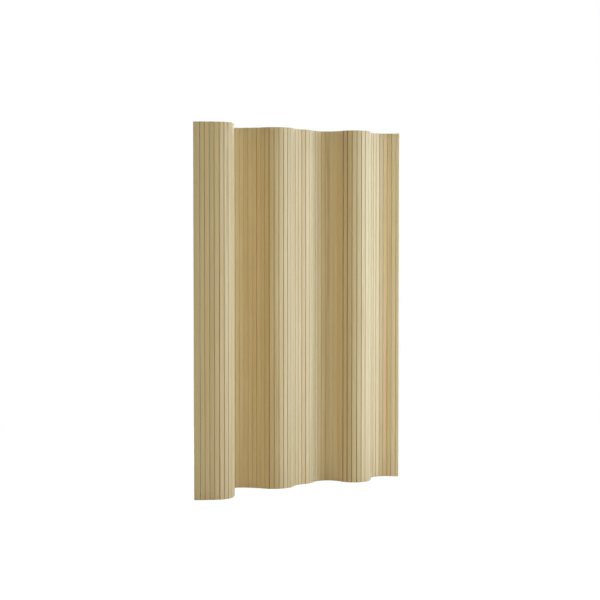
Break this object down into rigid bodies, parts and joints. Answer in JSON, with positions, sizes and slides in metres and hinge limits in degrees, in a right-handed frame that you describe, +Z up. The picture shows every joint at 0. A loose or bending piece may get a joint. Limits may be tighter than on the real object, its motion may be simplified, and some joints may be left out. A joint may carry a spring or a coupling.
{
  "type": "flexible slatted screen",
  "caption": "Free-standing flexible screen of upright pine slats, strung edge to edge on steel wires so that it stands in a wave and bends where the slats meet.",
  "frame": {"origin": "on the floor, under the middle of the box around the standing wave", "axes": "+Z up along the slats, +X along the screen to the right seen from the front, -Y towards the front"},
  "size_m": [1.0402, 0.219, 1.5],
  "materials": {
    "pine": "clear matt lacquer on planed pine",
    "steel": "bright galvanised wire and crimped sleeves"
  },
  "bodies": {
    "slats_01_03": {"slats_01_03": "pine", "left_ferrules": "steel"},
    "slats_04_05": {"slats_04_05": "pine"},
    "slat_06": {"slat_06": "pine"},
    "slat_07": {"slat_07": "pine"},
    "slat_08": {"slat_08": "pine"},
    "slat_09": {"slat_09": "pine"},
    "slats_10_11": {"slats_10_11": "pine"},
    "slats_12_13": {"slats_12_13": "pine"},
    "slats_14_15": {"slats_14_15": "pine"},
    "slats_16_17": {"slats_16_17": "pine"},
    "slat_18": {"slat_18": "pine"},
    "slat_19": {"slat_19": "pine"},
    "slat_20": {"slat_20": "pine"},
    "slat_21": {"slat_21": "pine"},
    "slat_22": {"slat_22": "pine"},
    "slat_23": {"slat_23": "pine"},
    "slat_24": {"slat_24": "pine"},
    "slats_25_26": {"slats_25_26": "pine"},
    "slats_27_28": {"slats_27_28": "pine"},
    "slats_29_30": {"slats_29_30": "pine"},
    "slat_31": {"slat_31": "pine"},
    "slat_32": {"slat_32": "pine"},
    "slat_33": {"slat_33": "pine"},
    "slat_34": {"slat_34": "pine"},
    "slat_35": {"slat_35": "pine"},
    "slat_36": {"slat_36": "pine"},
    "slats_37_38": {"slats_37_38": "pine"},
    "slat_39": {"slat_39": "pine"},
    "slat_40": {"slat_40": "pine"},
    "slat_41": {"slat_41": "pine"},
    "slat_42": {"slat_42": "pine"},
    "slat_43": {"slat_43": "pine"},
    "slats_44_45": {"slats_44_45": "pine", "wires": "steel"},
    "slat_46": {"slat_46": "pine"},
    "slat_47": {"slat_47": "pine"},
    "slat_48": {"slat_48": "pine"},
    "slat_49": {"slat_49": "pine"},
    "slat_50": {"slat_50": "pine"},
    "slat_51": {"slat_51": "pine"},
    "slat_52": {"slat_52": "pine"},
    "slat_53": {"slat_53": "pine"},
    "slat_54": {"slat_54": "pine"},
    "slat_55": {"slat_55": "pine"},
    "slat_56": {"slat_56": "pine"},
    "slat_57": {"slat_57": "pine"},
    "slat_58": {"slat_58": "pine"},
    "slat_59": {"slat_59": "pine"},
    "slat_60": {"slat_60": "pine"},
    "slat_61": {"slat_61": "pine"},
    "slats_62_63": {"slats_62_63": "pine"},
    "slat_64": {"slat_64": "pine"},
    "slat_65": {"slat_65": "pine"},
    "slat_66": {"slat_66": "pine"},
    "slat_67": {"slat_67": "pine"},
    "slat_68": {"slat_68": "pine"},
    "slat_69": {"slat_69": "pine"},
    "slats_70_72": {"slats_70_72": "pine", "right_ferrules": "steel"}
  },
  "joints": [
    {"name": "left_curl_bend", "type": "hinge", "parent": "slats_16_17", "child": "slats_14_15", "pos_m": [-0.30906, 0.01257, 0], "axis": [0, 0, -1], "range_deg": [-12, 3.6], "deforming": ["wires"]},
    {"name": "hinge_13_14", "type": "hinge", "parent": "slats_14_15", "child": "slats_12_13", "pos_m": [-0.32017, -0.02377, 0], "axis": [0, 0, -1], "range_deg": [-12.05, 3.65], "deforming": ["wires"]},
    {"name": "hinge_11_12", "type": "hinge", "parent": "slats_12_13", "child": "slats_10_11", "pos_m": [-0.33859, -0.05701, 0], "axis": [0, 0, -1], "range_deg": [-12.05, 3.65], "deforming": ["wires"]},
    {"name": "hinge_09_10", "type": "hinge", "parent": "slats_10_11", "child": "slat_09", "pos_m": [-0.36352, -0.08568, 0], "axis": [0, 0, -1], "range_deg": [-15.55, 4.7], "deforming": ["wires"]},
    {"name": "hinge_08_09", "type": "hinge", "parent": "slat_09", "child": "slat_08", "pos_m": [-0.37936, -0.09617, 0], "axis": [0, 0, -1], "range_deg": [-15.55, 4.7], "deforming": ["wires"]},
    {"name": "hinge_07_08", "type": "hinge", "parent": "slat_08", "child": "slat_07", "pos_m": [-0.39743, -0.10204, 0], "axis": [0, 0, -1], "range_deg": [-15.55, 4.7], "deforming": ["wires"]},
    {"name": "hinge_06_07", "type": "hinge", "parent": "slat_07", "child": "slat_06", "pos_m": [-0.41641, -0.10287, 0], "axis": [0, 0, -1], "range_deg": [-15.55, 4.7], "deforming": ["wires"]},
    {"name": "hinge_05_06", "type": "hinge", "parent": "slat_06", "child": "slats_04_05", "pos_m": [-0.43493, -0.0986, 0], "axis": [0, 0, -1], "range_deg": [-15.55, 4.7], "deforming": ["wires"]},
    {"name": "hinge_03_04", "type": "hinge", "parent": "slats_04_05", "child": "slats_01_03", "pos_m": [-0.46832, -0.08046, 0], "axis": [0, 0, -1], "range_deg": [-2.05, 0.65], "deforming": ["wires"]},
    {"name": "first_valley_bend", "type": "hinge", "parent": "slats_29_30", "child": "slats_27_28", "pos_m": [-0.14838, 0.03554, 0], "axis": [0, 0, 1], "range_deg": [-8, 2.4], "deforming": ["wires"]},
    {"name": "hinge_26_27", "type": "hinge", "parent": "slats_27_28", "child": "slats_25_26", "pos_m": [-0.17229, 0.06507, 0], "axis": [0, 0, 1], "range_deg": [-8.05, 2.45], "deforming": ["wires"]},
    {"name": "hinge_24_25", "type": "hinge", "parent": "slats_25_26", "child": "slat_24", "pos_m": [-0.20008, 0.09099, 0], "axis": [0, 0, 1], "range_deg": [-16.05, 4.85], "deforming": ["wires"]},
    {"name": "hinge_23_24", "type": "hinge", "parent": "slat_24", "child": "slat_23", "pos_m": [-0.21701, 0.09961, 0], "axis": [0, 0, 1], "range_deg": [-16.05, 4.85], "deforming": ["wires"]},
    {"name": "hinge_22_23", "type": "hinge", "parent": "slat_23", "child": "slat_22", "pos_m": [-0.23566, 0.10324, 0], "axis": [0, 0, 1], "range_deg": [-16.05, 4.85], "deforming": ["wires"]},
    {"name": "hinge_21_22", "type": "hinge", "parent": "slat_22", "child": "slat_21", "pos_m": [-0.25459, 0.10158, 0], "axis": [0, 0, 1], "range_deg": [-16.05, 4.85], "deforming": ["wires"]},
    {"name": "hinge_20_21", "type": "hinge", "parent": "slat_21", "child": "slat_20", "pos_m": [-0.27233, 0.09477, 0], "axis": [0, 0, 1], "range_deg": [-16.05, 4.85], "deforming": ["wires"]},
    {"name": "hinge_19_20", "type": "hinge", "parent": "slat_20", "child": "slat_19", "pos_m": [-0.2875, 0.08334, 0], "axis": [0, 0, 1], "range_deg": [-16.05, 4.85], "deforming": ["wires"]},
    {"name": "hinge_18_19", "type": "hinge", "parent": "slat_19", "child": "slat_18", "pos_m": [-0.29894, 0.06816, 0], "axis": [0, 0, 1], "range_deg": [-16.05, 4.85], "deforming": ["wires"]},
    {"name": "hinge_17_18", "type": "hinge", "parent": "slat_18", "child": "slats_16_17", "pos_m": [-0.30574, 0.05043, 0], "axis": [0, 0, 1], "range_deg": [-16.05, 4.85], "deforming": ["wires"]},
    {"name": "first_crest_bend", "type": "hinge", "parent": "slats_37_38", "child": "slat_36", "pos_m": [-0.02607, -0.01515, 0], "axis": [0, 0, -1], "range_deg": [-14, 4.2], "deforming": ["wires"]},
    {"name": "hinge_35_36", "type": "hinge", "parent": "slat_36", "child": "slat_35", "pos_m": [-0.04329, -0.02318, 0], "axis": [0, 0, -1], "range_deg": [-14.05, 4.25], "deforming": ["wires"]},
    {"name": "hinge_34_35", "type": "hinge", "parent": "slat_35", "child": "slat_34", "pos_m": [-0.06194, -0.0268, 0], "axis": [0, 0, -1], "range_deg": [-14.05, 4.25], "deforming": ["wires"]},
    {"name": "hinge_33_34", "type": "hinge", "parent": "slat_34", "child": "slat_33", "pos_m": [-0.08091, -0.02581, 0], "axis": [0, 0, -1], "range_deg": [-14.05, 4.25], "deforming": ["wires"]},
    {"name": "hinge_32_33", "type": "hinge", "parent": "slat_33", "child": "slat_32", "pos_m": [-0.09908, -0.02025, 0], "axis": [0, 0, -1], "range_deg": [-14.05, 4.25], "deforming": ["wires"]},
    {"name": "hinge_31_32", "type": "hinge", "parent": "slat_32", "child": "slat_31", "pos_m": [-0.11537, -0.01047, 0], "axis": [0, 0, -1], "range_deg": [-14.05, 4.25], "deforming": ["wires"]},
    {"name": "hinge_30_31", "type": "hinge", "parent": "slat_31", "child": "slats_29_30", "pos_m": [-0.1288, 0.00297, 0], "axis": [0, 0, -1], "range_deg": [-14.05, 4.25], "deforming": ["wires"]},
    {"name": "shoulder_bend", "type": "hinge", "parent": "slats_44_45", "child": "slat_43", "pos_m": [0.09557, 0.02191, 0], "axis": [0, 0, -1], "range_deg": [-14.5, 4.35], "deforming": ["wires"]},
    {"name": "hinge_42_43", "type": "hinge", "parent": "slat_43", "child": "slat_42", "pos_m": [0.07755, 0.01588, 0], "axis": [0, 0, -1], "range_deg": [-14.55, 4.4], "deforming": ["wires"]},
    {"name": "hinge_41_42", "type": "hinge", "parent": "slat_42", "child": "slat_41", "pos_m": [0.0586, 0.01456, 0], "axis": [0, 0, -1], "range_deg": [-14.55, 4.4], "deforming": ["wires"]},
    {"name": "hinge_40_41", "type": "hinge", "parent": "slat_41", "child": "slat_40", "pos_m": [0.03991, 0.01802, 0], "axis": [0, 0, 1], "range_deg": [-16.55, 5], "deforming": ["wires"]},
    {"name": "hinge_39_40", "type": "hinge", "parent": "slat_40", "child": "slat_39", "pos_m": [0.02102, 0.01604, 0], "axis": [0, 0, 1], "range_deg": [-16.55, 5], "deforming": ["wires"]},
    {"name": "hinge_38_39", "type": "hinge", "parent": "slat_39", "child": "slats_37_38", "pos_m": [0.00346, 0.00877, 0], "axis": [0, 0, 1], "range_deg": [-16.55, 5], "deforming": ["wires"]},
    {"name": "second_valley_bend", "type": "hinge", "parent": "slats_44_45", "child": "slat_46", "pos_m": [0.12744, 0.04261, 0], "axis": [0, 0, -1], "range_deg": [-15, 4.5], "deforming": ["wires"]},
    {"name": "hinge_46_47", "type": "hinge", "parent": "slat_46", "child": "slat_47", "pos_m": [0.14551, 0.04848, 0], "axis": [0, 0, -1], "range_deg": [-15.05, 4.55], "deforming": ["wires"]},
    {"name": "hinge_47_48", "type": "hinge", "parent": "slat_47", "child": "slat_48", "pos_m": [0.16448, 0.04948, 0], "axis": [0, 0, -1], "range_deg": [-15.05, 4.55], "deforming": ["wires"]},
    {"name": "hinge_48_49", "type": "hinge", "parent": "slat_48", "child": "slat_49", "pos_m": [0.18307, 0.04553, 0], "axis": [0, 0, -1], "range_deg": [-15.05, 4.55], "deforming": ["wires"]},
    {"name": "hinge_49_50", "type": "hinge", "parent": "slat_49", "child": "slat_50", "pos_m": [0.19999, 0.0369, 0], "axis": [0, 0, -1], "range_deg": [-15.05, 4.55], "deforming": ["wires"]},
    {"name": "hinge_50_51", "type": "hinge", "parent": "slat_50", "child": "slat_51", "pos_m": [0.21411, 0.02419, 0], "axis": [0, 0, -1], "range_deg": [-15.05, 4.55], "deforming": ["wires"]},
    {"name": "hinge_51_52", "type": "hinge", "parent": "slat_51", "child": "slat_52", "pos_m": [0.22446, 0.00825, 0], "axis": [0, 0, -1], "range_deg": [-15.05, 4.55], "deforming": ["wires"]},
    {"name": "hinge_52_53", "type": "hinge", "parent": "slat_52", "child": "slat_53", "pos_m": [0.23033, -0.00982, 0], "axis": [0, 0, -1], "range_deg": [-15.05, 4.55], "deforming": ["wires"]},
    {"name": "second_crest_bend", "type": "hinge", "parent": "slat_53", "child": "slat_54", "pos_m": [0.23133, -0.02879, 0], "axis": [0, 0, 1], "range_deg": [-16, 4.8], "deforming": ["wires"]},
    {"name": "hinge_54_55", "type": "hinge", "parent": "slat_54", "child": "slat_55", "pos_m": [0.23751, -0.04676, 0], "axis": [0, 0, 1], "range_deg": [-16.05, 4.85], "deforming": ["wires"]},
    {"name": "hinge_55_56", "type": "hinge", "parent": "slat_55", "child": "slat_56", "pos_m": [0.24841, -0.06232, 0], "axis": [0, 0, 1], "range_deg": [-16.05, 4.85], "deforming": ["wires"]},
    {"name": "hinge_56_57", "type": "hinge", "parent": "slat_56", "child": "slat_57", "pos_m": [0.26318, -0.07428, 0], "axis": [0, 0, 1], "range_deg": [-16.05, 4.85], "deforming": ["wires"]},
    {"name": "hinge_57_58", "type": "hinge", "parent": "slat_57", "child": "slat_58", "pos_m": [0.28067, -0.0817, 0], "axis": [0, 0, 1], "range_deg": [-16.05, 4.85], "deforming": ["wires"]},
    {"name": "hinge_58_59", "type": "hinge", "parent": "slat_58", "child": "slat_59", "pos_m": [0.29953, -0.08402, 0], "axis": [0, 0, 1], "range_deg": [-16.05, 4.85], "deforming": ["wires"]},
    {"name": "hinge_59_60", "type": "hinge", "parent": "slat_59", "child": "slat_60", "pos_m": [0.31829, -0.08105, 0], "axis": [0, 0, 1], "range_deg": [-16.05, 4.85], "deforming": ["wires"]},
    {"name": "hinge_60_61", "type": "hinge", "parent": "slat_60", "child": "slat_61", "pos_m": [0.33551, -0.07302, 0], "axis": [0, 0, 1], "range_deg": [-16.05, 4.85], "deforming": ["wires"]},
    {"name": "hinge_61_62", "type": "hinge", "parent": "slat_61", "child": "slats_62_63", "pos_m": [0.34985, -0.06055, 0], "axis": [0, 0, 1], "range_deg": [-16.05, 4.85], "deforming": ["wires"]},
    {"name": "end_bend", "type": "hinge", "parent": "slats_62_63", "child": "slat_64", "pos_m": [0.37055, -0.02868, 0], "axis": [0, 0, -1], "range_deg": [-14, 4.2], "deforming": ["wires"]},
    {"name": "hinge_64_65", "type": "hinge", "parent": "slat_64", "child": "slat_65", "pos_m": [0.38444, -0.01572, 0], "axis": [0, 0, -1], "range_deg": [-14.05, 4.25], "deforming": ["wires"]},
    {"name": "hinge_65_66", "type": "hinge", "parent": "slat_65", "child": "slat_66", "pos_m": [0.40106, -0.00651, 0], "axis": [0, 0, -1], "range_deg": [-14.05, 4.25], "deforming": ["wires"]},
    {"name": "hinge_66_67", "type": "hinge", "parent": "slat_66", "child": "slat_67", "pos_m": [0.41941, -0.00159, 0], "axis": [0, 0, -1], "range_deg": [-14.05, 4.25], "deforming": ["wires"]},
    {"name": "hinge_67_68", "type": "hinge", "parent": "slat_67", "child": "slat_68", "pos_m": [0.43841, -0.00126, 0], "axis": [0, 0, -1], "range_deg": [-14.05, 4.25], "deforming": ["wires"]},
    {"name": "hinge_68_69", "type": "hinge", "parent": "slat_68", "child": "slat_69", "pos_m": [0.45692, -0.00554, 0], "axis": [0, 0, -1], "range_deg": [-14.05, 4.25], "deforming": ["wires"]},
    {"name": "hinge_69_70", "type": "hinge", "parent": "slat_69", "child": "slats_70_72", "pos_m": [0.47385, -0.01416, 0], "axis": [0, 0, -1], "range_deg": [-14.05, 4.25], "deforming": ["wires"]}
  ],
  "couplings": [
    {"joint": "hinge_13_14", "follows": "left_curl_bend", "ratio": 1},
    {"joint": "hinge_11_12", "follows": "left_curl_bend", "ratio": 1},
    {"joint": "hinge_09_10", "follows": "left_curl_bend", "ratio": 1.2917},
    {"joint": "hinge_08_09", "follows": "left_curl_bend", "ratio": 1.2917},
    {"joint": "hinge_07_08", "follows": "left_curl_bend", "ratio": 1.2917},
    {"joint": "hinge_06_07", "follows": "left_curl_bend", "ratio": 1.2917},
    {"joint": "hinge_05_06", "follows": "left_curl_bend", "ratio": 1.2917},
    {"joint": "hinge_03_04", "follows": "left_curl_bend", "ratio": 0.16667},
    {"joint": "hinge_26_27", "follows": "first_valley_bend", "ratio": 1},
    {"joint": "hinge_24_25", "follows": "first_valley_bend", "ratio": 2},
    {"joint": "hinge_23_24", "follows": "first_valley_bend", "ratio": 2},
    {"joint": "hinge_22_23", "follows": "first_valley_bend", "ratio": 2},
    {"joint": "hinge_21_22", "follows": "first_valley_bend", "ratio": 2},
    {"joint": "hinge_20_21", "follows": "first_valley_bend", "ratio": 2},
    {"joint": "hinge_19_20", "follows": "first_valley_bend", "ratio": 2},
    {"joint": "hinge_18_19", "follows": "first_valley_bend", "ratio": 2},
    {"joint": "hinge_17_18", "follows": "first_valley_bend", "ratio": 2},
    {"joint": "hinge_35_36", "follows": "first_crest_bend", "ratio": 1},
    {"joint": "hinge_34_35", "follows": "first_crest_bend", "ratio": 1},
    {"joint": "hinge_33_34", "follows": "first_crest_bend", "ratio": 1},
    {"joint": "hinge_32_33", "follows": "first_crest_bend", "ratio": 1},
    {"joint": "hinge_31_32", "follows": "first_crest_bend", "ratio": 1},
    {"joint": "hinge_30_31", "follows": "first_crest_bend", "ratio": 1},
    {"joint": "hinge_42_43", "follows": "shoulder_bend", "ratio": 1},
    {"joint": "hinge_41_42", "follows": "shoulder_bend", "ratio": 1},
    {"joint": "hinge_40_41", "follows": "shoulder_bend", "ratio": 1.1379},
    {"joint": "hinge_39_40", "follows": "shoulder_bend", "ratio": 1.1379},
    {"joint": "hinge_38_39", "follows": "shoulder_bend", "ratio": 1.1379},
    {"joint": "hinge_46_47", "follows": "second_valley_bend", "ratio": 1},
    {"joint": "hinge_47_48", "follows": "second_valley_bend", "ratio": 1},
    {"joint": "hinge_48_49", "follows": "second_valley_bend", "ratio": 1},
    {"joint": "hinge_49_50", "follows": "second_valley_bend", "ratio": 1},
    {"joint": "hinge_50_51", "follows": "second_valley_bend", "ratio": 1},
    {"joint": "hinge_51_52", "follows": "second_valley_bend", "ratio": 1},
    {"joint": "hinge_52_53", "follows": "second_valley_bend", "ratio": 1},
    {"joint": "hinge_54_55", "follows": "second_crest_bend", "ratio": 1},
    {"joint": "hinge_55_56", "follows": "second_crest_bend", "ratio": 1},
    {"joint": "hinge_56_57", "follows": "second_crest_bend", "ratio": 1},
    {"joint": "hinge_57_58", "follows": "second_crest_bend", "ratio": 1},
    {"joint": "hinge_58_59", "follows": "second_crest_bend", "ratio": 1},
    {"joint": "hinge_59_60", "follows": "second_crest_bend", "ratio": 1},
    {"joint": "hinge_60_61", "follows": "second_crest_bend", "ratio": 1},
    {"joint": "hinge_61_62", "follows": "second_crest_bend", "ratio": 1},
    {"joint": "hinge_64_65", "follows": "end_bend", "ratio": 1},
    {"joint": "hinge_65_66", "follows": "end_bend", "ratio": 1},
    {"joint": "hinge_66_67", "follows": "end_bend", "ratio": 1},
    {"joint": "hinge_67_68", "follows": "end_bend", "ratio": 1},
    {"joint": "hinge_68_69", "follows": "end_bend", "ratio": 1},
    {"joint": "hinge_69_70", "follows": "end_bend", "ratio": 1}
  ]
}
